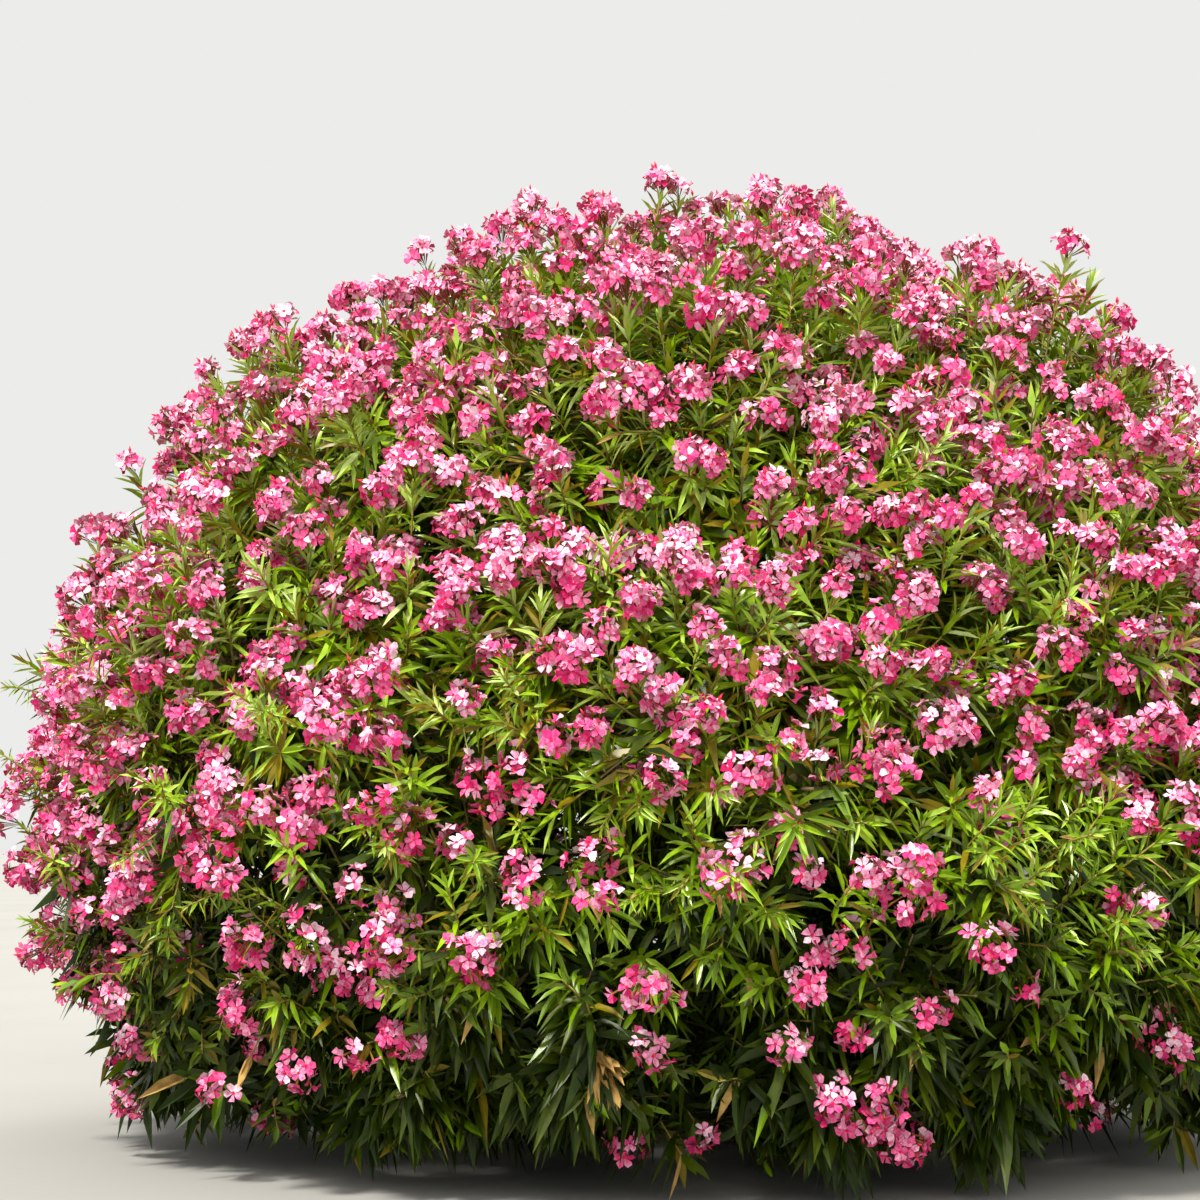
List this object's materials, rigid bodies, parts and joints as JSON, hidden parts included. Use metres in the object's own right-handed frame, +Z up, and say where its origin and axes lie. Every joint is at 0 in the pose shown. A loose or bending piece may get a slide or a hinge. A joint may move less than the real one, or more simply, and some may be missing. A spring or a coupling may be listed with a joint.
{
  "type": "oleander shrub",
  "caption": "Large flowering evergreen shrub: a clump of arching stems from one woody root crown under a broad dome of lance-shaped leaves and clusters of blossom.",
  "frame": {"origin": "ground level, at the centre of the flat cut under the root crown", "axes": "+X to the right seen from the front, across the widest part of the crown; front faces -Y; +Z up"},
  "size_m": [3.6329, 3.2416, 2.4965],
  "materials": {
    "bark": "matt grey-brown bark with fine pores, greener towards the tips",
    "foliage": "leathery lance-shaped leaves, satin, yellow-green in the sun and dark green in the shade",
    "blossom": "soft five-petalled flowers in mid pink with a deeper throat",
    "twig": "smooth yellow-green to grey-brown young shoots"
  },
  "bodies": {
    "root": {"high_bough_1": "bark", "high_bough_2": "bark", "high_bough_3": "bark", "high_bough_4": "bark", "high_bough_5": "bark", "high_bough_6": "bark", "leader_1": "bark", "leader_2": "bark", "low_bough_1": "bark", "low_bough_2": "bark", "low_bough_3": "bark", "low_bough_4": "bark", "low_bough_5": "bark", "low_bough_6": "bark", "low_bough_7": "bark", "low_bough_8": "bark", "middle_foliage_1": "foliage", "middle_foliage_2": "foliage", "middle_foliage_3": "foliage", "middle_foliage_4": "foliage", "middle_foliage_5": "foliage", "middle_foliage_6": "foliage", "middle_foliage_7": "foliage", "middle_foliage_8": "foliage", "root_crown": "bark", "skirt_foliage_1": "foliage", "skirt_foliage_2": "foliage", "skirt_foliage_3": "foliage", "skirt_foliage_4": "foliage", "skirt_foliage_5": "foliage", "skirt_foliage_6": "foliage", "skirt_foliage_7": "foliage", "skirt_foliage_8": "foliage", "stem_1": "bark", "stem_2": "bark", "stem_3": "bark", "stem_4": "bark", "stem_5": "bark", "stem_6": "bark", "stem_7": "bark", "stem_8": "bark", "top_foliage_1": "foliage", "top_foliage_2": "foliage", "upper_foliage_1": "foliage", "upper_foliage_2": "foliage", "upper_foliage_3": "foliage", "upper_foliage_4": "foliage", "upper_foliage_5": "foliage", "upper_foliage_6": "foliage"}
  },
  "joints": []
}
